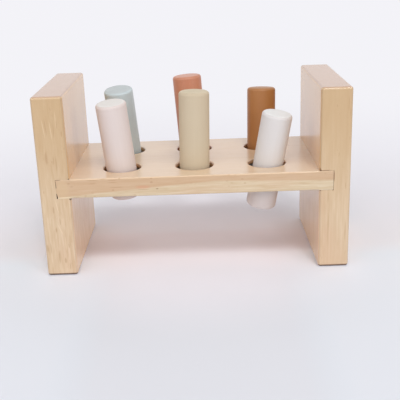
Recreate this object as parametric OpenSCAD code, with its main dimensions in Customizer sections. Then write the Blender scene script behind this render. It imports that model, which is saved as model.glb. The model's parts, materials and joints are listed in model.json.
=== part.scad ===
// Peg pounding bench: two upright end panels carry a board with two rows of
// three holes. A rubber ring in a groove inside each hole grips a painted peg,
// which is hammered through the board and then back from the other side.
// +X runs along the bench, +Y to the back and +Z up. The origin is on the
// floor, under the middle of the bench.

/* [Bench] */
// Length over both end panels
bench_l = 220; // [200:1:250]
// Depth from the front edges to the back edges
bench_d = 104; // [96:1:124]
// Height from the floor to the tops of the end panels
bench_h = 132; // [120:1:150]
// Thickness of an end panel
panel_t = 22; // [20:0.5:26]
// Rounding of an end panel's edges
panel_round = 2.5; // [1:0.1:4]
// Thickness of the peg board
board_t = 14; // [13.5:0.25:16]
// Rounding of the board's long edges
board_round = 1; // [0.4:0.1:1.6]
// Depth of the housing in an end panel that holds the board's end
housing_depth = 10; // [7:0.5:11]

/* [Pegs and holes] */
// Diameter of a peg
peg_d = 22; // [19:0.5:23]
// Length of a peg
peg_l = 72; // [66:0.5:72]
// Rounding of a peg's ends
peg_round = 2; // [1:0.1:3]
// Distance from an end panel's inner face to the middle of the nearest holes
end_margin = 34.8; // [30:0.2:38]
// Distance from the board's front or back edge to the middle of a row of holes
edge_margin = 27.5; // [25:0.5:30]
// Gap between an upright peg and the wall of its hole
hole_play = 2.5; // [2.2:0.1:2.9]
// Rounding of the rims of a hole
rim_round = 1.2; // [0.6:0.1:1.4]

/* [Grip rings] */
// Thickness of a ring's round section
ring_section = 3.5; // [3.2:0.1:3.8]
// Running clearance between a ring and its peg
ring_fit = 0.05; // [0.02:0.01:0.1]
// Clearance between a ring and the groove that holds it
groove_gap = 0.3; // [0.2:0.05:0.6]
// Furthest that a ring and its peg can rock from upright, in degrees
rock_limit = 13; // [11.5:0.5:13.5]

/* [Dowels] */
// Diameter of a dowel in an end joint
dowel_d = 8; // [6:0.5:8]
// Length of a dowel
dowel_l = 30; // [26:1:34]
// Length of a dowel inside the end panel
dowel_in_panel = 8; // [6:0.5:8]
// Distance from the board's front or back edge to the nearest dowel's middle
dowel_margin = 24; // [18:1:28]
// Bevel round the ends of a dowel
dowel_bevel = 1; // [0.5:0.1:1.5]
// Clearance round a dowel, which the glue fills
dowel_fit = 0.05; // [0.02:0.01:0.1]
// Clearance past each end of a dowel
dowel_end_gap = 0.5; // [0.2:0.1:1]

/* [Hidden] */
PEGS = ["pink", "beige", "white", "green", "terracotta", "brown"];
SIDES = ["left", "right"];
ROWS = ["front", "back"];

// How far each cut runs past the surface that it opens
overrun = 1;
// Flats in a quarter of each rounded edge
round_steps = 6;
$fn = 96;

// Column and row of each peg's hole, as shares of the pitch from the middle
peg_place_shares = [[-1, -1], [0, -1], [1, -1], [-1, 1], [0, 1], [1, 1]];
// Lean of each peg from upright, and the way that it leans from +X, in degrees
peg_lean_degrees = [[7.5, 230], [1.4, 12], [11, -27], [9.5, 248], [3.9, 157], [5.2, 79]];
// How far each peg is up, from 0 when driven flush to 1 when fully raised
peg_rise_shares = [0.86, 0.94, 0.66, 0.89, 1, 0.795];
peg_colours = ["#e3d1cf", "#cfc1a2", "#e0dcd9", "#a9b0ab", "#c68263", "#a66c3e"];
beech = "#dcc09a";
birch = "#e6d3b3";
rubber = "#3a3735";

peg_r = peg_d / 2;
hole_r = peg_r + hole_play;
rim_r = hole_r + rim_round;
ring_r = ring_section / 2;
ring_middle_r = peg_r + ring_fit + ring_r;
groove_r = ring_middle_r + ring_r + groove_gap;
groove_half_h = ring_r + ring_middle_r * sin(rock_limit) + groove_gap / 2;
travel = peg_l - board_t;
board_l = bench_l - 2 * (panel_t - housing_depth);
board_z = bench_h / 2;
panel_x = (bench_l - panel_t) / 2;
column_pitch = bench_l / 2 - panel_t - end_margin;
row_pitch = bench_d - 2 * edge_margin;
dowel_pitch = bench_d - 2 * dowel_margin;
dowel_r = dowel_d / 2;

// Points along an arc about a centre, from angle a to angle b
function arc(centre, r, a, b) = [
    for (i = [0 : round_steps])
        let (angle = a + (b - a) * i / round_steps)
        centre + r * [cos(angle), sin(angle)]
];

// Outline of a w by h rectangle with rounded corners, about its middle
function rounded_outline(w, h, r) = concat(
    arc([w / 2 - r, h / 2 - r], r, 0, 90),
    arc([r - w / 2, h / 2 - r], r, 90, 180),
    arc([r - w / 2, r - h / 2], r, 180, 270),
    arc([w / 2 - r, r - h / 2], r, 270, 360)
);

// A straight bar along X whose section is w deep and h high
module bar_along_x(length, w, h, r) {
    rotate([90, 0, 90])
        linear_extrude(height = length, center = true)
            polygon(rounded_outline(w, h, r));
}

// A block with every edge rounded, as three crossed bars leave it
module rounded_block(size, r) {
    reach = 2 * overrun;
    intersection() {
        bar_along_x(size.x + reach, size.y, size.z, r);
        rotate([0, 0, 90])
            bar_along_x(size.y + reach, size.x, size.z, r);
        rotate([0, 90, 0])
            bar_along_x(size.z + reach, size.y, size.x, r);
    }
}

// A round bar with bevelled or rounded ends, standing on the origin
module turned_rod(profile) {
    rotate_extrude()
        polygon(profile);
}

// Places its children at the seat of each dowel of one end joint
module at_dowel(side, row) {
    translate([side * board_l / 2, row * dowel_pitch / 2, board_z])
        rotate([0, side * 90, 0])
            children();
}

module dowel_hole() {
    depth_in_board = dowel_l - dowel_in_panel + dowel_end_gap;
    depth_in_panel = dowel_in_panel + dowel_end_gap;
    translate([0, 0, -depth_in_board])
        cylinder(h = depth_in_board + depth_in_panel, r = dowel_r + dowel_fit);
}

module dowel(side, row) {
    color(birch)
        at_dowel(side, row)
            translate([0, 0, dowel_in_panel - dowel_l])
                turned_rod([
                    [0, 0],
                    [dowel_r - dowel_bevel, 0],
                    [dowel_r, dowel_bevel],
                    [dowel_r, dowel_l - dowel_bevel],
                    [dowel_r - dowel_bevel, dowel_l],
                    [0, dowel_l]
                ]);
}

// An end panel, with the housing for the board across its inner face
module end_panel(side) {
    housing = [housing_depth + overrun, bench_d + 2 * overrun, board_t];
    color(beech)
        difference() {
            translate([side * panel_x, 0, board_z])
                rounded_block([panel_t, bench_d, bench_h], panel_round);
            translate([side * (board_l / 2 - housing.x / 2), 0, board_z])
                cube(housing, center = true);
            for (row = [-1, 1])
                at_dowel(side, row)
                    dowel_hole();
        }
}

// Half section of a peg's hole: rounded rims and the groove for its ring
function hole_profile() = concat(
    [[0, -board_t / 2 - overrun], [rim_r, -board_t / 2 - overrun]],
    arc([rim_r, rim_round - board_t / 2], rim_round, 270, 180),
    [[hole_r, -groove_half_h], [groove_r, -groove_half_h]],
    [[groove_r, groove_half_h], [hole_r, groove_half_h]],
    arc([rim_r, board_t / 2 - rim_round], rim_round, 180, 90),
    [[rim_r, board_t / 2 + overrun], [0, board_t / 2 + overrun]]
);

module at_hole(i) {
    place = peg_place_shares[i];
    translate([place.x * column_pitch, place.y * row_pitch / 2, board_z])
        children();
}

module peg_board() {
    color(beech)
        difference() {
            translate([0, 0, board_z])
                bar_along_x(board_l, bench_d, board_t, board_round);
            for (i = [0 : len(PEGS) - 1])
                at_hole(i)
                    turned_rod(hole_profile());
            for (side = [-1, 1])
                for (row = [-1, 1])
                    at_dowel(side, row)
                        dowel_hole();
        }
}

// Places its children in a hole, leaning as that hole's peg leans
module at_lean(i) {
    lean = peg_lean_degrees[i];
    at_hole(i)
        rotate([0, 0, lean.y])
            rotate([0, lean.x, 0])
                children();
}

function peg_profile() = concat(
    [[0, 0]],
    arc([peg_r - peg_round, peg_round], peg_round, 270, 360),
    arc([peg_r - peg_round, peg_l - peg_round], peg_round, 0, 90),
    [[0, peg_l]]
);

module peg(i) {
    top = board_t / 2 + travel * peg_rise_shares[i];
    color(peg_colours[i])
        at_lean(i)
            translate([0, 0, top - peg_l])
                turned_rod(peg_profile());
}

module grip_ring(i) {
    color(rubber)
        at_lean(i)
            rotate_extrude()
                translate([ring_middle_r, 0])
                    circle(r = ring_r);
}

for (s = [0, 1]) {
    side = 2 * s - 1;
    end_panel(side);
    for (r = [0, 1])
        dowel(side, 2 * r - 1);
}
peg_board();
for (i = [0 : len(PEGS) - 1]) {
    peg(i);
    grip_ring(i);
}
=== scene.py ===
import json
import math
from typing import NamedTuple

import bmesh
import bpy
from mathutils import Matrix, Vector


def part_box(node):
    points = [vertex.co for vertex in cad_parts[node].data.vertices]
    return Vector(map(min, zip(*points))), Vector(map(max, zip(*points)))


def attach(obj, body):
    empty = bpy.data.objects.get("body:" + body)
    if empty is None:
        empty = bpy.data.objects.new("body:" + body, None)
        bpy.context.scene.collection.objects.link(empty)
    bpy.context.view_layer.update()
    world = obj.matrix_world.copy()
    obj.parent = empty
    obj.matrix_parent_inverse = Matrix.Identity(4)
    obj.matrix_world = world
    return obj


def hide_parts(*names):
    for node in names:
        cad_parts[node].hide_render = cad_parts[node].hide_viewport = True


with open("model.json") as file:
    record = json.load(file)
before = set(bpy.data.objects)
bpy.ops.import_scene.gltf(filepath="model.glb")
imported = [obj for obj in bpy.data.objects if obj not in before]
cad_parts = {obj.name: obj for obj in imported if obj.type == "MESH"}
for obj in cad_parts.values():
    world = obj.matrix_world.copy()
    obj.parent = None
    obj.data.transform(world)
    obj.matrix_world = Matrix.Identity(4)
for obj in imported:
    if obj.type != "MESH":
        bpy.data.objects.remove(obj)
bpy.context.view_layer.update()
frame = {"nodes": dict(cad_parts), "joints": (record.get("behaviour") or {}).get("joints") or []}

# Lengths are in metres, in the frame of the solids, unless a comment says mm
MM_PER_METRE = 1000
BENCH_FRONT = -0.052
# The height of the middle of the board
JOINT_HEIGHT = 0.066

SIDES = ["left", "right"]
PEGS = ["pink", "beige", "white", "green", "terracotta", "brown"]
DOWELS = ["left_front_dowel", "left_back_dowel", "right_front_dowel", "right_back_dowel"]


# Camera

CAMERA_PLACE = (0.00526, -0.54849, 0.22314)
# To the right, down and over, in degrees
CAMERA_ANGLES = (-0.228, 18.738, -2.007)
# In mm, as on a full-frame camera
SENSOR_WIDTH = 36
LENS = 66.49
CLIP_START = 0.01


def camera_turn(yaw, pitch, roll):
    """How the camera is turned: to the right, down and over, in degrees."""
    yaw, pitch, roll = (math.radians(angle) for angle in (yaw, pitch, roll))
    level = math.cos(pitch)
    ahead = Vector((math.sin(yaw) * level, math.cos(yaw) * level, -math.sin(pitch)))
    right = Vector((math.cos(yaw), -math.sin(yaw), 0))
    down = ahead.cross(right)
    right, down = (
        math.cos(roll) * right - math.sin(roll) * down,
        math.sin(roll) * right + math.cos(roll) * down,
    )
    return Matrix((right, -down, -ahead)).transposed().to_4x4()


camera_data = bpy.data.cameras.new("camera")
camera_data.sensor_width = SENSOR_WIDTH
camera_data.lens = LENS
camera_data.clip_start = CLIP_START
camera = bpy.data.objects.new("camera", camera_data)
bpy.context.scene.collection.objects.link(camera)
camera.matrix_world = Matrix.Translation(CAMERA_PLACE) @ camera_turn(*CAMERA_ANGLES)
bpy.context.scene.camera = camera
bpy.context.scene.view_settings.view_transform = "Standard"


# Shader maths

# How much finer noise there is in a pattern
PLAIN, USUAL, RICH = 1.0, 2.0, 3.0
# The sockets of a Mix node that mixes colours, and the output that shows the result
MIX_SHARE, MIX_FIRST, MIX_SECOND = 0, 6, 7
MIX_RESULT = 2
# The output of a Vector Math node that is a single number
VECTOR_MATH_NUMBER = 1


def srgb(red, green, blue):
    """A colour as it is seen, from 0 to 255 in each channel, for a shader's socket."""
    shares = [channel / 255 for channel in (red, green, blue)]
    return (*[s / 12.92 if s <= 0.04045 else ((s + 0.055) / 1.055) ** 2.4 for s in shares], 1)


class Field:
    """A node's output that varies over a surface. Sums on it add Math nodes."""

    def __init__(self, mix, socket):
        self.mix = mix
        self.socket = socket

    def __add__(self, other):
        return self.mix.maths("ADD", self, other)

    def __radd__(self, other):
        return self.mix.maths("ADD", other, self)

    def __sub__(self, other):
        return self.mix.maths("SUBTRACT", self, other)

    def __rsub__(self, other):
        return self.mix.maths("SUBTRACT", other, self)

    def __mul__(self, other):
        return self.mix.maths("MULTIPLY", self, other)

    def __rmul__(self, other):
        return self.mix.maths("MULTIPLY", other, self)

    def __pow__(self, other):
        return self.mix.maths("POWER", self, other)

    def __neg__(self):
        return self.mix.maths("SUBTRACT", 0, self)

    def __abs__(self):
        return self.mix.maths("ABSOLUTE", self)


class Tone(NamedTuple):
    """A change of colour that sets in where all of its ramps have risen.

    A ramp is the name of a field, where on it the ramp starts and where it ends.
    """

    colour: tuple
    ramps: list
    kind: str = "MULTIPLY"
    share: float = 1


class Mix:
    """The nodes of one finish, with one way to add a node to them."""

    def __init__(self, tree):
        self.tree = tree
        tree.nodes.clear()

    def node(self, kind, settings=None, sockets=None, output=0):
        made = self.tree.nodes.new("ShaderNode" + kind)
        for name, value in (settings or {}).items():
            setattr(made, name, value)
        for name, value in (sockets or {}).items():
            if isinstance(value, Field):
                self.tree.links.new(value.socket, made.inputs[name])
            else:
                made.inputs[name].default_value = value
        return Field(self, made.outputs[output] if made.outputs else None)

    def maths(self, operation, *terms):
        return self.node("Math", {"operation": operation}, dict(enumerate(terms)))

    def vector(self, x, y, z):
        return self.node("CombineXYZ", sockets={"X": x, "Y": y, "Z": z})

    def axes(self, vector):
        parts = self.node("SeparateXYZ", sockets={"Vector": vector}).socket.node
        return [Field(self, socket) for socket in parts.outputs]

    def stretched(self, axes, fineness, shift=(0, 0, 0)):
        """A place for a pattern whose fineness differs from axis to axis."""
        terms = zip(axes, fineness, shift)
        return self.vector(*[axis * fine + move for axis, fine, move in terms])

    def mottle(self, place, detail=USUAL):
        """Soft noise about 0, mostly between -0.5 and 0.5, with patches a unit across."""
        sockets = {"Vector": place, "Scale": 1.0, "Detail": detail}
        return 2 * self.node("TexNoise", sockets=sockets) - 1

    def about(self, noise, middle, reach):
        """A value that the noise moves about its middle."""
        return middle + noise * reach

    def step(self, value, start, end):
        """Rises softly from 0 at the start to 1 at the end."""
        sockets = {"Value": value, "From Min": start, "From Max": end}
        return self.node("MapRange", {"interpolation_type": "SMOOTHSTEP"}, sockets)

    def distance(self, x, y):
        return self.maths("SQRT", x * x + y * y)

    def blend(self, share, first, second, kind="MIX"):
        settings = {"data_type": "RGBA", "blend_type": kind}
        sockets = {MIX_SHARE: share, MIX_FIRST: first, MIX_SECOND: second}
        return self.node("Mix", settings, sockets, output=MIX_RESULT)

    def toned(self, colour, fields, tones):
        """The colour after each of the tones in turn."""
        for tone in tones:
            steps = [self.step(fields[name], start, end) for name, start, end in tone.ramps]
            colour = self.blend(math.prod(steps) * tone.share, colour, tone.colour, tone.kind)
        return colour


def finish_from(name, paint):
    """A material whose surface shader is made by paint(mix)."""
    material = bpy.data.materials.new(name)
    material.use_nodes = True
    mix = Mix(material.node_tree)
    mix.node("OutputMaterial", sockets={"Surface": paint(mix)})
    return material


# Studio

BACKDROP = (0.90, 0.895, 0.935, 1)
WORLD_FILL = 0.46
FILL_COLOUR = (1.03, 0.99, 0.98, 1)
# Azimuth, elevation and spread in degrees, then strength, and whether gloss shows it.
# Azimuth 0 is in front of the bench, and positive is to its right.
LAMPS = {
    "key_softbox": (15, 55, 13, 0.61, True),
    "key_softbox_edge": (15, 25, 14, 0.275, True),
    "top_left_softbox": (-15, 55, 14, 0.205, True),
    "top_left_softbox_edge": (-40, 55, 14, 0.075, True),
    "top_right_softbox": (40, 55, 14, 0.255, True),
    "fill_card": (-15, 25, 14, 0.18, True),
    "left_card": (-45, 25, 14, 0.21, True),
    "left_card_edge": (-75, 25, 14, 0.16, True),
    "left_card_low": (-60, 12, 14, 0.195, True),
    "right_card": (45, 25, 14, 0.115, True),
    "right_card_low": (60, 12, 14, 0.395, True),
    "backdrop_low": (180, 28, 55, 0.40, False),
    "backdrop_high": (180, 60, 40, 0.08, False),
    "backdrop_right": (130, 35, 40, 0.21, False),
    "backdrop_left": (-130, 35, 40, 0.03, False),
}

FLOOR_REACH = 6
FLOOR_ROUGHNESS = 0.9
FLOOR_WHITES = (srgb(243, 239, 247), srgb(246, 242, 250))
FLOOR_GREY = srgb(225, 225, 232)
SPECKLE_FINENESS = (30, 30, 1)
# Its middle, and how strongly the speckle moves it
SPECKLE_TONE = (0.5, 0.5)
# The floor turns to backdrop with the distance from a place in front of the bench
FAR_FROM = -0.1
FAR_RAMP = (0.2, 0.75)
# The tones of the floor by the bench. Side is how far a place is to either side,
# back is how far it is to the back, and reach is how far it is from the middle.
FLOOR_TONES = [
    # A painted pool of light: the floor is whiter near the bench and greyer farther from it
    Tone(FLOOR_GREY, [("reach", 0.06, 0.16)], "MIX"),
    # Darker and cooler in front of the bench, then bluer by its front feet, painted to cancel the
    # warm light that the panels bounce there
    Tone((0.955, 0.98, 0.985, 1), [("back", -0.02, -0.06)]),
    Tone((0.985, 1.035, 1.05, 1), [("side", 0.055, 0.085), ("back", -0.005, -0.035)]),
    # A painted shadow under the bench, then deeper painted shade there beside its panels
    Tone((0.99, 0.96, 0.96, 1), [
        ("back", 0.035, 0.02), ("back", -0.024, -0.01), ("side", 0.104, 0.096)]),
    Tone((0.96, 0.955, 0.955, 1), [
        ("back", 0.035, 0.02), ("back", -0.024, -0.01), ("side", 0.104, 0.096),
        ("side", 0.035, 0.06), ("back", 0.022, 0.01)]),
    # Painted shade outside the panels, then redder in front of them
    Tone((0.955, 0.98, 0.99, 1), [
        ("side", 0.105, 0.13), ("back", -0.09, -0.04), ("reach", 0.175, 0.135)]),
    Tone((1.05, 1.012, 1.0, 1), [("side", 0.06, 0.09), ("back", -0.03, -0.055)]),
]


def studio_world():
    """Even light on the object. The camera and gloss see a white backdrop."""
    world = bpy.data.worlds.new("studio")
    world.use_nodes = True
    bpy.context.scene.world = world
    mix = Mix(world.node_tree)
    camera_ray = mix.node("LightPath")
    path = camera_ray.socket.node.outputs
    shown = mix.maths("MAXIMUM", camera_ray, Field(mix, path["Is Glossy Ray"]))
    shown = mix.maths("MAXIMUM", shown, Field(mix, path["Is Transmission Ray"]))
    strength = WORLD_FILL + shown * (1 - WORLD_FILL)
    colour = mix.blend(shown, FILL_COLOUR, BACKDROP)
    light = mix.node("Background", sockets={"Color": colour, "Strength": strength})
    mix.node("OutputWorld", sockets={"Surface": light})


def sun(name, azimuth, elevation, spread, strength, glossy):
    """A far, broad lamp."""
    data = bpy.data.lights.new(name, "SUN")
    data.energy = strength
    data.angle = math.radians(spread)
    lamp = bpy.data.objects.new(name, data)
    lamp.visible_glossy = glossy
    bpy.context.scene.collection.objects.link(lamp)
    azimuth, elevation = math.radians(azimuth), math.radians(elevation)
    level = math.cos(elevation)
    towards = Vector((math.sin(azimuth) * level, -math.cos(azimuth) * level, math.sin(elevation)))
    lamp.rotation_euler = towards.to_track_quat("Z", "Y").to_euler()


def floor_paint(mix):
    """Pale grey near the bench, with a painted pool of light and painted shadows there, and the white
    of the backdrop far from it.
    """
    axes = mix.axes(mix.node("TexCoord", output="Object"))
    x, y = axes[:2]
    speckle = mix.mottle(mix.stretched(axes, SPECKLE_FINENESS))
    near = mix.blend(mix.about(speckle, *SPECKLE_TONE), *FLOOR_WHITES)
    fields = {"side": abs(x), "back": y, "reach": mix.distance(x, y)}
    near = mix.toned(near, fields, FLOOR_TONES)
    diffuse = mix.node("BsdfPrincipled", sockets={
        "Base Color": near, "Roughness": FLOOR_ROUGHNESS})
    glow = mix.node("Emission", sockets={"Color": BACKDROP})
    far = mix.step(mix.distance(x, y - FAR_FROM), *FAR_RAMP)
    return mix.node("MixShader", sockets={0: far, 1: diffuse, 2: glow})


def studio_floor():
    mesh = bpy.data.meshes.new("studio_floor")
    reach = FLOOR_REACH
    corners = [(-reach, -reach, 0), (reach, -reach, 0), (reach, reach, 0), (-reach, reach, 0)]
    mesh.from_pydata(corners, [], [(0, 1, 2, 3)])
    mesh.materials.append(finish_from("studio_floor", floor_paint))
    floor = bpy.data.objects.new("studio_floor", mesh)
    bpy.context.scene.collection.objects.link(floor)


studio_world()
studio_floor()
for name, lamp in LAMPS.items():
    sun(name, *lamp)


# Beech


class Beech(NamedTuple):
    """How one block of beech grew and how it looks now.

    Grain is the axis that the fibres follow. Pith is where the middle of the
    trunk crosses the other two axes, and drift is how far the rings move out
    for each metre along the grain. The seed picks the block's own noise. The
    shades are pale and dark wood, and the shares are how strongly the late
    wood of each ring and the strands show.
    """

    grain: str
    pith: tuple
    drift: float
    seed: float
    shades: tuple
    late_share: float
    strand_share: float
    bands: list
    marks: list
    tones: list


# How fine each pattern in the wood is, across, through and along the fibres
SWAY_FINENESS = (14, 14, 5)
FIBRE_FINENESS = (1300, 1300, 38)
STREAK_FINENESS = (420, 420, 32)
CLOUD_FINENESS = (90, 90, 9)
PATCH_FINENESS = (40, 40, 14)
WANDER_FINENESS = (60, 60, 24)
STRAND_FINENESS = (680, 680, 75)
RAY_FINENESS = (900, 300, 210)
RAY_PLACES_FINENESS = (160, 160, 60)

RINGS_PER_METRE = 310
RING_SWAY = 0.004
BAND_SWAY = 0.001
# A ring's late wood builds up by this power, and ends over this part of the ring
LATE_POWER = 4
LATE_END = (0.93, 1.0)
MIDDLE_TONE = 0.34
FIBRE_SHARE = 0.2
STREAK_SHARE = 0.34
CLOUD_SHARE = 0.25
STRAND_WANDER = 0.8
STRAND_RAMP = (0.08, 0.45)
PATCH_RAMP = (0.05, 0.6)
BLUSH = srgb(205, 161, 131)
BLUSH_SHARE = 0.3
STRAW = srgb(198, 172, 123)
STRAW_SHARE = 0.25
RAY_BROWN = srgb(162, 118, 78)
RAY_SHARE = 0.4
RAY_WIDTH_RAMP = (0.12, 0.30)
RAY_PLACES_RAMP = (0.0, 0.5)
RAY_RELIEF = 0.5
# How squarely a surface faces a way before it counts as a face that way
FACING = (0.55, 0.85)

LACQUER = {"IOR": 1.5, "Specular IOR Level": 0.2, "Coat Roughness": 0.2}
SATIN_RELIEF = {"Strength": 0.12, "Distance": 0.0001}
# Its middle, and how strongly the fibres move it
BEECH_ROUGHNESS = (0.45, 0.05)
END_COAT_LOSS = 0.1

PANEL_SHADES = (srgb(218, 195, 165), srgb(194, 162, 125))
BOARD_SHADES = (srgb(217, 200, 171), srgb(194, 166, 129))

# A band is a tone that sets in where the height passes a line. The line is
# highest at its crest along the grain, and falls away on the left and the right.
FLAT = (0, 0, 0)
# The panels are painted darker and yellower towards their tops, as painted shade: their feet catch
# more light from the floor
HONEY_SHADE_BAND = (FLAT, (0.02, 0.125), 0.75, srgb(193, 161, 118))
# The board has a redder layer, which falls away at both ends, above a creamy one
RED_BAND = ((0.0139, 0.08, 0.028), (0.0684, 0.0696), 0.6, srgb(196, 156, 121))
# The board is paler over its top, and along its rounded top edges this is a painted highlight
TOP_HIGHLIGHT_BAND = (FLAT, (0.0722, 0.0729), 0.35, srgb(232, 207, 172))

# Marks in the front faces: kind, place along and up the bench, half width and
# half length in mm, and how many degrees they lean to the right
MARK_DEPTH = 0.006
# A mark fades between these shares of its half width and half length
MARK_EDGE = (1.2, 0.5)
MARK_SHADES = {
    "dark": (srgb(168, 128, 86), 0.4),
    "pale": (srgb(236, 214, 180), 0.3),
    "blush": (srgb(206, 150, 118), 0.5),
    # Painted shade in the notches where the board meets the panels
    "notch_shade": (srgb(92, 62, 38), 0.8),
    # Stains in the wood, and painted shade along the gaps of the right joint
    "stain_and_gap_shade": (srgb(126, 82, 44), 0.7),
    "straw": (srgb(210, 182, 142), 0.4),
    # A painted highlight along the board's lower front edge
    "edge_highlight": (srgb(240, 218, 182), 0.6),
}
LEFT_MARKS = [
    ("pale", -102.7, 109.9, 0.45, 7.5, -6), ("dark", -101.1, 110.9, 0.4, 6.4, -4),
    ("pale", -97.7, 108.4, 0.45, 7.5, -4), ("dark", -95.8, 108.7, 0.35, 6.3, 1),
    ("dark", -93.4, 113.0, 0.4, 3.4, 0), ("pale", -93.8, 115.9, 0.4, 6.7, 0),
    ("dark", -90.4, 106.0, 0.5, 2.3, 0), ("dark", -102.6, 89.0, 1.0, 4.9, 0),
    ("dark", -97.7, 87.0, 0.35, 3.2, 0), ("dark", -96.0, 84.0, 0.35, 6.1, 0),
    ("pale", -98.5, 53.1, 0.5, 5.8, -10), ("dark", -101.2, 50.7, 0.6, 3.0, 0),
    ("pale", -95.6, 41.6, 0.4, 5.0, 0), ("dark", -97.3, 41.9, 0.5, 3.0, 0),
    ("pale", -97.7, 36.0, 0.5, 5.0, -22), ("dark", -100.5, 35.6, 0.6, 2.1, 0),
    ("pale", -94.7, 24.6, 0.35, 6.6, 0), ("dark", -92.6, 23.1, 0.4, 2.1, 0),
    ("dark", -105.7, 21.5, 0.5, 4.8, 0), ("dark", -108.1, 21.6, 0.6, 3.3, 0),
    ("dark", -100.1, 14.6, 0.7, 5.4, 0), ("dark", -96.0, 11.7, 0.8, 2.4, 0),
    ("dark", -93.1, 7.6, 0.4, 3.2, 0), ("notch_shade", -88.4, 58.6, 1.0, 1.0, 0),
]
RIGHT_MARKS = [
    ("dark", 107.0, 120.4, 0.3, 5.5, 0), ("dark", 108.4, 114.5, 0.3, 3.1, 0),
    ("dark", 106.4, 61.9, 0.3, 2.9, 0), ("dark", 94.2, 53.3, 0.3, 4.4, 0),
    ("dark", 94.7, 30.1, 0.3, 11.8, 0), ("dark", 107.0, 27.7, 0.3, 8.4, 0),
    # The marks from here on lie by the joint and are painted shade in its gaps
    ("dark", 88.6, 58.7, 0.7, 0.7, 0), ("stain_and_gap_shade", 91.5, 73.5, 0.3, 5.6, 90),
    ("stain_and_gap_shade", 88.6, 74.2, 0.55, 1.3, -30), ("stain_and_gap_shade", 98.25, 69.0, 0.3, 4.8, 0),
    ("stain_and_gap_shade", 97.5, 58.9, 0.5, 0.5, 0),
]
BOARD_MARKS = [
    ("dark", -72.4, 71.8, 0.35, 4.9, 90), ("dark", -64.6, 72.4, 0.35, 2.4, 90),
    ("dark", -58.0, 71.5, 0.3, 3.8, 90), ("dark", -58.1, 69.8, 0.3, 3.8, 90),
    ("dark", -72.1, 69.4, 0.3, 3.3, 90), ("dark", -55.2, 66.3, 0.35, 5.6, 90),
    ("dark", -57.8, 64.3, 0.6, 1.0, 90), ("dark", -53.0, 72.5, 0.5, 1.0, 90),
    ("dark", -30.5, 72.0, 0.5, 1.0, 90), ("blush", -36.6, 65.8, 1.4, 5.6, 90),
    ("dark", -36.7, 63.9, 0.35, 4.6, 90), ("stain_and_gap_shade", -26.6, 64.2, 0.35, 1.0, 90),
    ("dark", -88.9, 70.0, 0.6, 1.1, 90), ("straw", -93.6, 66.2, 5.2, 7.0, 0),
    ("edge_highlight", -92.8, 59.7, 0.45, 6.0, 90), ("notch_shade", -96.2, 72.9, 0.25, 2.2, 90),
]

# The tones of the worked wood. Height is from the floor. Side, depth and off
# joint are how far a place is from the middle of the bench, to either side, to
# the front or back, and over or under the middle of the board. Sideways,
# forward and level are how squarely the surface faces to a side, to the front
# or back, and up or down.
# The ends are painted cooler, as a painted sheen of the pale backdrop on the panel tops
END_SHEEN_TINT = (0.98, 0.945, 1.165, 1)
TONES = {
    # The hidden faces of the end joints are painted dark, as shade in the thin gaps between the parts
    "glue": Tone(srgb(92, 62, 38), [
        ("side", 0.0881, 0.0884), ("side", 0.0986, 0.0984),
        ("off_joint", 0.0076, 0.0074), ("depth", 0.0519, 0.0516)], "MIX"),
    # The ends of the fibres get a cooler tint, a painted sheen
    "panel_ends": Tone(END_SHEEN_TINT, [("level", *FACING)]),
    "board_ends": Tone(END_SHEEN_TINT, [("sideways", *FACING)]),
    # The rounded edges that stand upright, and those that run from front to back, get painted shade
    # that dims the light they catch
    "edges": Tone((0.84, 0.87, 0.92, 1), [
        ("sideways", 0.4, 0.65), ("forward", 0.15, 0.4), ("level", 0.5, 0.2)]),
    # The rounded edges between the tops and the side faces are painted cooler, as painted shade that
    # dims the light they catch
    "brow_shade": Tone((0.95, 0.985, 1.08, 1), [("sideways", 0.2, 0.45), ("level", 0.2, 0.45)]),
    # The broad faces are painted paler, as painted light and sheen: the side faces of the panels
    # paler and pinker, the board's faces paler and cooler
    "left_face_light": Tone((1.27, 1.16, 1.07, 1), [("sideways", *FACING)]),
    "right_face_light": Tone((1.225, 1.11, 1.01, 1), [("sideways", *FACING)]),
    "board_face_sheen": Tone((1.12, 1.17, 1.25, 1), [("level", *FACING)]),
    # The front and back faces of the panels are painted dark where they stand, as the shade in the
    # crevice under their rounded feet
    "foot_crevice_shade": Tone(srgb(92, 58, 38), [("height", 0.0021, 0.0011), ("forward", 0.0, 0.2)], "MIX", 0.92),
    # The inner faces of the panels are painted warmer just above the board, a painted reflection of
    # the board
    "board_reflection": Tone((0.97, 0.9, 0.74, 1), [
        ("height", 0.100, 0.078), ("height", 0.0725, 0.0735), ("side", 0.095, 0.091),
        ("sideways", *FACING)]),
    # The walls of the bored holes are painted paler and warmer, painted light in holes that stand in
    # shade
    "bore_light": Tone((1.4, 1.2, 0.78, 1), [
        ("height", 0.0594, 0.0600), ("height", 0.0725, 0.0718), ("depth", 0.0519, 0.0514)]),
}
LEFT_TONES = ["glue", "panel_ends", "edges", "brow_shade", "left_face_light", "foot_crevice_shade", "board_reflection"]
RIGHT_TONES = ["glue", "panel_ends", "edges", "brow_shade", "right_face_light", "foot_crevice_shade", "board_reflection"]
BOARD_TONES = ["glue", "board_ends", "edges", "brow_shade", "board_face_sheen", "bore_light"]

BEECH = {
    "left_end_panel": Beech(
        grain="Z", pith=(-0.101, -0.105), drift=0.035, seed=3.1, shades=PANEL_SHADES,
        late_share=0.16, strand_share=0.3, bands=[HONEY_SHADE_BAND], marks=LEFT_MARKS, tones=LEFT_TONES),
    "right_end_panel": Beech(
        grain="Z", pith=(0.094, -0.118), drift=-0.03, seed=17.7, shades=PANEL_SHADES,
        late_share=0.1, strand_share=0.12, bands=[HONEY_SHADE_BAND], marks=RIGHT_MARKS, tones=RIGHT_TONES),
    "peg_board": Beech(
        grain="X", pith=(0.012, 0.005), drift=-0.02, seed=41.3, shades=BOARD_SHADES,
        late_share=0.2, strand_share=0.25, bands=[RED_BAND, TOP_HIGHLIGHT_BAND], marks=BOARD_MARKS,
        tones=BOARD_TONES),
}


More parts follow.
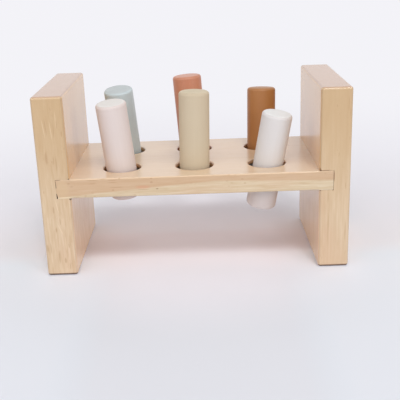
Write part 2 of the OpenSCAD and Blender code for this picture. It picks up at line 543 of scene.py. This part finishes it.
def grown(mix, beech, axes, sway):
    """The wood's own colour, and the fibres that its pattern is made of."""
    across, through, along = axes
    seed = beech.seed
    seeded = (0, 0, seed)
    radius = mix.distance(across - beech.pith[0] + sway * RING_SWAY, through - beech.pith[1])
    radius = radius + along * beech.drift + sway * RING_SWAY
    ring = mix.maths("FRACT", radius * RINGS_PER_METRE)
    late = ring ** LATE_POWER * (1 - mix.step(ring, *LATE_END))
    fibre = mix.mottle(mix.stretched(axes, FIBRE_FINENESS, seeded))
    streak = mix.mottle(mix.stretched(axes, STREAK_FINENESS, seeded), PLAIN)
    cloud = mix.mottle(mix.stretched(axes, CLOUD_FINENESS, seeded), PLAIN)
    # Strands: short dark and pale lines that wander a little
    wander = mix.mottle(mix.stretched(axes, WANDER_FINENESS, seeded), PLAIN) * STRAND_WANDER
    strand = mix.mottle(mix.stretched(axes, STRAND_FINENESS, (wander, 0, -seed)), PLAIN)
    strand = mix.step(strand, *STRAND_RAMP) - mix.step(-strand, *STRAND_RAMP)
    tone = MIDDLE_TONE + late * beech.late_share + fibre * FIBRE_SHARE
    tone = tone + streak * STREAK_SHARE + cloud * CLOUD_SHARE
    wood = mix.blend(tone + strand * beech.strand_share, *beech.shades)
    # Blush and straw patches, as beech has
    patch = mix.mottle(mix.stretched(axes, PATCH_FINENESS, (0, 0, -seed)))
    wood = mix.blend(mix.step(patch, *PATCH_RAMP) * BLUSH_SHARE, wood, BLUSH)
    wood = mix.blend(mix.step(-patch, *PATCH_RAMP) * STRAW_SHARE, wood, STRAW)
    return wood, fibre


def banded(mix, wood, bands, along, height):
    """The wood with the bands of tone that cross it."""
    for (crest, left_fall, right_fall), ramp, share, shade in bands:
        line = mix.maths("MINIMUM", (along - crest) * left_fall, (crest - along) * right_fall)
        wood = mix.blend(mix.step(height - line, *ramp) * share, wood, shade)
    return wood


def rays(mix, seed, axes):
    """Where the rays are: short dark dashes along the grain."""
    cells = mix.stretched(axes, RAY_FINENESS, (0, 0, seed))
    spot = mix.node("TexVoronoi", sockets={"Vector": cells, "Scale": 1.0})
    chosen = mix.mottle(mix.stretched(axes, RAY_PLACES_FINENESS, (0, 0, seed)))
    return (1 - mix.step(spot, *RAY_WIDTH_RAMP)) * mix.step(chosen, *RAY_PLACES_RAMP)


def marked(mix, wood, marks, place):
    """The wood with the marks in its front face."""
    for kind, along, up, half_width, half_length, lean in marks:
        shade, share = MARK_SHADES[kind]
        oval = mix.node("Mapping", {"vector_type": "TEXTURE"}, {
            "Vector": place,
            "Location": (along / MM_PER_METRE, BENCH_FRONT, up / MM_PER_METRE),
            "Rotation": (0, math.radians(lean), 0),
            "Scale": (half_width / MM_PER_METRE, MARK_DEPTH, half_length / MM_PER_METRE),
        })
        reach = mix.node(
            "VectorMath", {"operation": "LENGTH"}, {0: oval}, output=VECTOR_MATH_NUMBER)
        wood = mix.blend(mix.step(reach, *MARK_EDGE) * share, wood, shade)
    return wood


def beech_finish(name, beech):
    """Solid beech under satin lacquer, as one pattern through the whole block."""

    def paint(mix):
        place = mix.node("TexCoord", output="Object")
        x, y, z = mix.axes(place)
        axes = (y, z, x) if beech.grain == "X" else (x, y, z)
        sway = mix.mottle(mix.stretched(axes, SWAY_FINENESS, (beech.seed, 0, 0)))
        wood, fibre = grown(mix, beech, axes, sway)
        wood = banded(mix, wood, beech.bands, axes[2], z + sway * BAND_SWAY)
        ray = rays(mix, beech.seed, axes)
        wood = mix.blend(ray * RAY_SHARE, wood, RAY_BROWN)
        wood = marked(mix, wood, beech.marks, place)
        facing = mix.axes(mix.node("TexCoord", output="Normal"))
        fields = {
            "height": z, "side": abs(x), "depth": abs(y), "off_joint": abs(z - JOINT_HEIGHT),
            "sideways": abs(facing[0]), "forward": abs(facing[1]), "level": abs(facing[2]),
        }
        wood = mix.toned(wood, fields, [TONES[tone] for tone in beech.tones])
        end = mix.step(fields["sideways" if beech.grain == "X" else "level"], *FACING)
        relief = mix.node("Bump", sockets={"Height": fibre - ray * RAY_RELIEF, **SATIN_RELIEF})
        return mix.node("BsdfPrincipled", sockets={
            "Base Color": wood,
            "Roughness": mix.about(fibre, *BEECH_ROUGHNESS),
            "Coat Weight": 1 - end * END_COAT_LOSS,
            "Normal": relief,
            **LACQUER,
        })

    return finish_from(name, paint)


# Dowels and rings

# Each tone and roughness is its middle, and how strongly noise moves it
BIRCH_FINENESS = (60, 1500, 1500)
BIRCH_SHADES = (srgb(236, 217, 184), srgb(206, 176, 134))
BIRCH_TONE = (0.5, 0.6)
BIRCH_ROUGHNESS = (0.7, 0.1)
BIRCH_RELIEF = {"Strength": 0.3, "Distance": 0.0001}

GRIT_FINENESS = (3000, 3000, 3000)
BLOOM_FINENESS = (200, 200, 200)
RUBBER_SHADES = (srgb(58, 55, 53), srgb(84, 79, 75))
RUBBER_TONE = (0.35, 0.4)
RUBBER_ROUGHNESS = (0.75, 0.1)
RUBBER_RELIEF = {"Strength": 0.3, "Distance": 0.00005}


def birch_paint(mix):
    """Bare turned dowel wood: fine fibres along the bench."""
    axes = mix.axes(mix.node("TexCoord", output="Object"))
    fibre = mix.mottle(mix.stretched(axes, BIRCH_FINENESS))
    wood = mix.blend(mix.about(fibre, *BIRCH_TONE), *BIRCH_SHADES)
    relief = mix.node("Bump", sockets={"Height": fibre, **BIRCH_RELIEF})
    return mix.node("BsdfPrincipled", sockets={
        "Base Color": wood, "Roughness": mix.about(fibre, *BIRCH_ROUGHNESS), "Normal": relief})


def rubber_paint(mix):
    """Matt moulded rubber with a faint bloom of dust."""
    axes = mix.axes(mix.node("TexCoord", output="Object"))
    grit = mix.mottle(mix.stretched(axes, GRIT_FINENESS), RICH)
    bloom = mix.mottle(mix.stretched(axes, BLOOM_FINENESS))
    rubber = mix.blend(mix.about(bloom, *RUBBER_TONE), *RUBBER_SHADES)
    relief = mix.node("Bump", sockets={"Height": grit, **RUBBER_RELIEF})
    return mix.node("BsdfPrincipled", sockets={
        "Base Color": rubber, "Roughness": mix.about(bloom, *RUBBER_ROUGHNESS), "Normal": relief})


# Paint


class Paint(NamedTuple):
    """A satin paint: where it is thick and thin, the painted light on its ends, and its sheen."""

    thick: tuple
    thin: tuple
    end_light_tint: tuple
    roughness: float
    shine: float


PAINTS = {
    "pink": Paint(srgb(220, 209, 205), srgb(215, 202, 198), (1.03, 1.14, 1.15, 1), 0.6, 0.15),
    "beige": Paint(srgb(202, 188, 164), srgb(196, 180, 155), (1.06, 1.09, 1.09, 1), 0.6, 0.15),
    "white": Paint(srgb(217, 214, 214), srgb(213, 209, 207), (1.11, 1.16, 1.17, 1), 0.55, 0.25),
    "green": Paint(srgb(195, 208, 212), srgb(186, 199, 202), (0.91, 0.86, 0.84, 1), 0.45, 0.5),
    "terracotta": Paint(srgb(194, 131, 101), srgb(186, 121, 92), (1.17, 1.47, 1.82, 1), 0.45, 0.6),
    "brown": Paint(srgb(173, 119, 69), srgb(162, 108, 60), (1.0, 1.05, 1.1, 1), 0.45, 0.5),
}
# How fine each pattern in the paint is, across the peg twice and along it
TURNED_FIBRE_FINENESS = (900, 900, 25)
COAT_FINENESS = (90, 90, 60)
ORANGE_PEEL_FINENESS = (1500, 1500, 1500)
PAINT_TONE = 0.5
PAINT_FIBRE_SHARE = 0.35
PAINT_COAT_SHARE = 0.3
PAINT_COAT_ROUGHNESS = 0.06
FIBRE_RELIEF = 0.6
ORANGE_PEEL_RELIEF = 0.4
PAINT_IOR = 1.5
# The ends are painted another tone, as painted light and a painted reflection of the pale backdrop on
# the peg tops
PAINTED_END_RAMP = (0.8, 0.97)
# The part of a peg below the middle of the board is painted pinker and darker, as the warm painted
# shade under the board
UNDER_BOARD_SHADE_RAMP = (-0.002, -0.02)
UNDER_BOARD_SHADE_TINT = (0.98, 0.91, 0.89, 1)


def paint_finish(name, centre, axis, paint):
    """Satin paint over turned wood. The fibres under it show as faint lines."""

    def coats(mix):
        place = mix.node("TexCoord", output="Object")
        upright = axis.rotation_difference(Vector((0, 0, 1))).to_euler()
        place = mix.node("VectorMath", {"operation": "SUBTRACT"}, {0: place, 1: centre})
        place = mix.node("VectorRotate", {"rotation_type": "EULER_XYZ"}, {
            "Vector": place, "Rotation": upright})
        axes = mix.axes(place)
        fibre = mix.mottle(mix.stretched(axes, TURNED_FIBRE_FINENESS))
        coat = mix.mottle(mix.stretched(axes, COAT_FINENESS))
        orange_peel = mix.mottle(mix.stretched(axes, ORANGE_PEEL_FINENESS), PLAIN)
        thinness = PAINT_TONE + fibre * PAINT_FIBRE_SHARE + coat * PAINT_COAT_SHARE
        colour = mix.blend(thinness, paint.thick, paint.thin)
        normal = mix.node("TexCoord", output="Normal")
        facing = mix.node(
            "VectorMath", {"operation": "DOT_PRODUCT"}, {0: normal, 1: axis},
            output=VECTOR_MATH_NUMBER)
        colour = mix.toned(colour, {"endways": abs(facing), "up": axes[2]}, [
            Tone(paint.end_light_tint, [("endways", *PAINTED_END_RAMP)]),
            Tone(UNDER_BOARD_SHADE_TINT, [("up", *UNDER_BOARD_SHADE_RAMP)]),
        ])
        height = fibre * FIBRE_RELIEF + orange_peel * ORANGE_PEEL_RELIEF
        relief = mix.node("Bump", sockets={"Height": height, **SATIN_RELIEF})
        return mix.node("BsdfPrincipled", sockets={
            "Base Color": colour,
            "Roughness": paint.roughness + coat * PAINT_COAT_ROUGHNESS,
            "IOR": PAINT_IOR,
            "Specular IOR Level": paint.shine,
            "Normal": relief,
        })

    return finish_from(name, coats)


# Shapes

PANEL_ROUND = 0.002
BOARD_ROUND = 0.001
BOARD_HOUSED_ROUND = 0.00015
BOARD_END_GAPS = {"left": 0.00006, "right": 0.0002}
# How far each housing stands open over and under the board at the front
HOUSING_GAPS = {"left": (0.00003, 0), "right": (0.00012, 0.00008)}
HOUSING_GAP_DEPTH = 0.016
CHIP_DEPTH = 0.004
RIM_ROUND = 0.0012
# How much wider a hole's radius is than its peg's
HOLE_PLAY = 0.0025
# From a ring's middle to the middle of its section
RING_RADIUS = 0.0128
# How far a ring can tip, in degrees
RING_TIP = 13
GROOVE_ROUND = 0.00185
PEG_ROUND = 0.0021
# The flat of a peg's end has an inner loop of points at this share of its radius
PEG_END_LOOP = 0.6
DOWEL_FIT = 0.00005
DOWEL_END_GAP = 0.0005
# How far a cutter reaches past what it cuts
OVERRUN = 0.002
ROUND_STEPS = 6
# A bevel of this profile is a part of a circle
CIRCLE_PROFILE = 0.5
TURN_STEPS = 128
# A point nearer to the axis than this is a pole
POLE_RADIUS = 1e-9
SOFT_ANGLE = math.radians(28)

# Splinters missing where the board meets the panels, as outlines along and up in mm
BOARD_CHIPS = [
    [(-98.3, 72.83), (-94.2, 73.0), (-94.2, 73.3), (-98.3, 73.3)],
    [(-98.3, 66.8), (-97.72, 66.8), (-97.58, 67.3), (-97.86, 72.9), (-98.3, 72.9)],
    [(-98.3, 59.0), (-97.6, 59.0), (-97.15, 59.5), (-97.3, 61.0), (-97.75, 62.8), (-98.3, 62.9)],
    [(97.6, 58.8), (98.3, 58.8), (98.3, 59.5), (97.7, 59.5)],
]
PANEL_CHIPS = {
    "left": [[(-88.6, 58.1), (-87.3, 58.2), (-87.3, 59.2), (-88.8, 59.2)]],
    "right": [],
}


class Peg(NamedTuple):
    """Where a peg's hole and axis are, and the peg's radius and ends along the axis."""

    centre: Vector
    axis: Vector
    radius: float
    low: float
    high: float


def new_piece(name, bm):
    """A named object made from worked mesh data."""
    bmesh.ops.recalc_face_normals(bm, faces=bm.faces)
    mesh = bpy.data.meshes.new(name)
    bm.to_mesh(mesh)
    bm.free()
    piece = bpy.data.objects.new(name, mesh)
    bpy.context.scene.collection.objects.link(piece)
    return piece


def keep_modifiers(piece):
    """Turns what the piece's modifiers show into its own mesh."""
    shown = piece.evaluated_get(bpy.context.evaluated_depsgraph_get())
    mesh = bpy.data.meshes.new_from_object(shown)
    rough = piece.data
    piece.modifiers.clear()
    piece.data = mesh
    bpy.data.meshes.remove(rough)
    mesh.name = piece.name


def cut(piece, cutter):
    """Takes the cutter's shape out of the piece, and clears the cutter away."""
    boolean = piece.modifiers.new("cut", "BOOLEAN")
    boolean.operation = "DIFFERENCE"
    boolean.solver = "EXACT"
    boolean.object = cutter
    keep_modifiers(piece)
    bpy.data.objects.remove(cutter)


def soften(piece):
    """Shades rounded edges smoothly and leaves cut edges crisp."""
    piece.data.shade_smooth()
    piece.data.set_sharp_from_angle(angle=SOFT_ANGLE)
    weights = piece.modifiers.new("weights", "WEIGHTED_NORMAL")
    weights.keep_sharp = True
    keep_modifiers(piece)


def block(low, high):
    """Mesh data of a box between two corners."""
    bm = bmesh.new()
    middle = (low + high) / 2
    size = high - low
    bmesh.ops.create_cube(bm, size=1, matrix=Matrix.Translation(middle) @ Matrix.Diagonal((*size, 1)))
    return bm


def arc(centre, radius, start, end):
    """Points of an arc in a half section, as (radius, height), with angles in degrees."""
    points = []
    for i in range(ROUND_STEPS + 1):
        angle = math.radians(start + (end - start) * i / ROUND_STEPS)
        points.append((centre[0] + radius * math.cos(angle), centre[1] + radius * math.sin(angle)))
    return points


def turned(profile, place, axis):
    """Mesh data of a half section turned round an axis, from pole to pole."""
    bm = bmesh.new()
    lay = Matrix.Translation(place) @ Vector((0, 0, 1)).rotation_difference(axis).to_matrix().to_4x4()
    rings = []
    for radius, height in profile:
        if radius < POLE_RADIUS:
            rings.append([bm.verts.new(lay @ Vector((0, 0, height)))])
            continue
        ring = []
        for i in range(TURN_STEPS):
            angle = 2 * math.pi * i / TURN_STEPS
            point = Vector((radius * math.cos(angle), radius * math.sin(angle), height))
            ring.append(bm.verts.new(lay @ point))
        rings.append(ring)
    for lower, upper in zip(rings, rings[1:]):
        for i in range(TURN_STEPS):
            a, b = i, (i + 1) % TURN_STEPS
            if len(lower) == 1:
                bm.faces.new((lower[0], upper[b], upper[a]))
            elif len(upper) == 1:
                bm.faces.new((lower[a], lower[b], upper[0]))
            else:
                bm.faces.new((lower[a], lower[b], upper[b], upper[a]))
    return bm


def lofted(sections):
    """Mesh data of a closed skin through loops of points, with flat ends."""
    bm = bmesh.new()
    loops = [[bm.verts.new(point) for point in section] for section in sections]
    count = len(loops[0])
    for first, second in zip(loops, loops[1:]):
        for i in range(count):
            j = (i + 1) % count
            bm.faces.new((first[i], first[j], second[j], second[i]))
    bm.faces.new(loops[0])
    bm.faces.new(loops[-1])
    return bm


def cut_dowel_holes(piece, names):
    """Opens the hidden holes that the dowels sit in."""
    for name in names:
        low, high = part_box(name)
        centre = (low + high) / 2
        radius = (high.z - low.z) / 2 + DOWEL_FIT
        half = (high.x - low.x) / 2 + DOWEL_END_GAP
        profile = [(0, -half), (radius, -half), (radius, half), (0, half)]
        cut(piece, new_piece("dowel_hole", turned(profile, centre, Vector((1, 0, 0)))))


def chip(outline):
    """What is missing at a chipped edge of the front face, from its outline in mm."""
    sections = []
    for y in (BENCH_FRONT - OVERRUN, BENCH_FRONT + CHIP_DEPTH):
        sections.append([(x / MM_PER_METRE, y, z / MM_PER_METRE) for x, z in outline])
    return new_piece("chip", lofted(sections))


def end_panel(side):
    """A panel with rounded edges, and the housing for the board across its inner face."""
    node = side + "_end_panel"
    low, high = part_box(node)
    board_low, board_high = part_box("peg_board")
    bm = block(low, high)
    bmesh.ops.bevel(
        bm, geom=bm.edges[:], offset=PANEL_ROUND, segments=ROUND_STEPS, profile=CIRCLE_PROFILE,
        affect="EDGES")
    panel = new_piece(node + "_wood", bm)
    # The housing opens a little towards the front
    bottom = board_low.x if side == "left" else board_high.x
    mouth = high.x + OVERRUN if side == "left" else low.x - OVERRUN
    stations = [
        (low.y - OVERRUN, 1), (low.y, 1), (low.y + HOUSING_GAP_DEPTH, 0), (high.y + OVERRUN, 0)]
    sections = []
    for y, share in stations:
        over, under = (gap * share for gap in HOUSING_GAPS[side])
        sill, lintel = board_low.z - under, board_high.z + over
        sections.append([
            (bottom, y, sill), (mouth, y, sill), (mouth, y, lintel), (bottom, y, lintel)])
    cut(panel, new_piece("housing", lofted(sections)))
    for outline in PANEL_CHIPS[side]:
        cut(panel, chip(outline))
    cut_dowel_holes(panel, [name for name in DOWELS if name.startswith(side)])
    soften(panel)
    return panel


def hole_profile(thickness, radius):
    """Half section of a peg's hole: rounded rims, and a hollow in which its ring can tip."""
    face = thickness / 2
    rim = radius + RIM_ROUND
    tip = math.radians(RING_TIP)
    out, up = RING_RADIUS * math.cos(tip), RING_RADIUS * math.sin(tip)
    edge = math.degrees(math.acos((radius - out) / GROOVE_ROUND))
    return [
        (0, -face - OVERRUN),
        (rim, -face - OVERRUN),
        *arc((rim, RIM_ROUND - face), RIM_ROUND, 270, 180),
        *arc((out, -up), GROOVE_ROUND, -edge, -RING_TIP),
        *arc((0, 0), RING_RADIUS + GROOVE_ROUND, -RING_TIP, RING_TIP)[1:-1],
        *arc((out, up), GROOVE_ROUND, RING_TIP, edge),
        *arc((rim, face - RIM_ROUND), RIM_ROUND, 180, 90),
        (rim, face + OVERRUN),
        (0, face + OVERRUN),
    ]


def board_section(x, low, high, radius):
    """The board's rounded outline at one place along it."""
    y, z = high.y - radius, (high.z - low.z) / 2 - radius
    middle = (high.z + low.z) / 2
    points = []
    for centre, start in (((y, z), 0), ((-y, z), 90), ((-y, -z), 180), ((y, -z), 270)):
        points += [(x, a, middle + b) for a, b in arc(centre, radius, start, start + 90)]
    return points


def peg_board(pegs):
    """The board, its long edges rounded between the panels, with six holes for the pegs."""
    low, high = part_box("peg_board")
    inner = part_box("right_end_panel")[0].x
    board = new_piece("peg_board_wood", lofted([
        board_section(low.x + BOARD_END_GAPS["left"], low, high, BOARD_HOUSED_ROUND),
        board_section(-inner, low, high, BOARD_HOUSED_ROUND),
        board_section(BOARD_ROUND - inner, low, high, BOARD_ROUND),
        board_section(inner - BOARD_ROUND, low, high, BOARD_ROUND),
        board_section(inner, low, high, BOARD_HOUSED_ROUND),
        board_section(high.x - BOARD_END_GAPS["right"], low, high, BOARD_HOUSED_ROUND),
    ]))
    for outline in BOARD_CHIPS:
        cut(board, chip(outline))
    for peg in pegs.values():
        profile = hole_profile(high.z - low.z, peg.radius + HOLE_PLAY)
        cut(board, new_piece("peg_hole", turned(profile, peg.centre, Vector((0, 0, 1)))))
    cut_dowel_holes(board, DOWELS)
    soften(board)
    return board


def measured_peg(colour):
    """The measures of a peg, from its joints and its solid."""
    joints = {joint["name"]: joint for joint in frame["joints"]}
    centre = Vector(joints[colour + "_peg_rock"]["pos_m"])
    axis = Vector(joints[colour + "_peg_slide"]["axis"]).normalized()
    points = [v.co - centre for v in frame["nodes"][colour + "_peg"].data.vertices]
    heights = [point.dot(axis) for point in points]
    radius = max((point - axis * height).length for point, height in zip(points, heights))
    return Peg(centre, axis, radius, min(heights), max(heights))


def peg_profile(peg):
    """Half section of a peg: flat ends with a soft edge."""
    inner = peg.radius - PEG_ROUND
    return [
        (0, peg.low),
        (inner * PEG_END_LOOP, peg.low),
        *arc((inner, peg.low + PEG_ROUND), PEG_ROUND, 270, 360),
        *arc((inner, peg.high - PEG_ROUND), PEG_ROUND, 0, 90),
        (inner * PEG_END_LOOP, peg.high),
        (0, peg.high),
    ]


# Pieces


def fit(piece, node, body, slot, finish):
    """Puts a finished piece in the place of a node of the solids."""
    piece.data.materials.clear()
    piece.data.materials.append(finish)
    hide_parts(node)
    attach(piece, body)


pegs = {colour: measured_peg(colour) for colour in PEGS}
for side in SIDES:
    node = side + "_end_panel"
    fit(end_panel(side), node, "bench", "beech", beech_finish("beech_" + side, BEECH[node]))
fit(peg_board(pegs), "peg_board", "bench", "beech", beech_finish("beech_board", BEECH["peg_board"]))

for colour, peg in pegs.items():
    piece = new_piece(colour + "_peg_painted", turned(peg_profile(peg), peg.centre, peg.axis))
    soften(piece)
    finish = paint_finish(colour + "_paint", peg.centre, peg.axis, PAINTS[colour])
    fit(piece, colour + "_peg", colour + "_peg", colour + "_paint", finish)

rubber = finish_from("grip_rubber", rubber_paint)
birch = finish_from("dowel_birch", birch_paint)
for name, node in frame["nodes"].items():
    if name.endswith(("_ring", "_dowel")):
        node.data.materials.clear()
        node.data.materials.append(rubber if name.endswith("_ring") else birch)
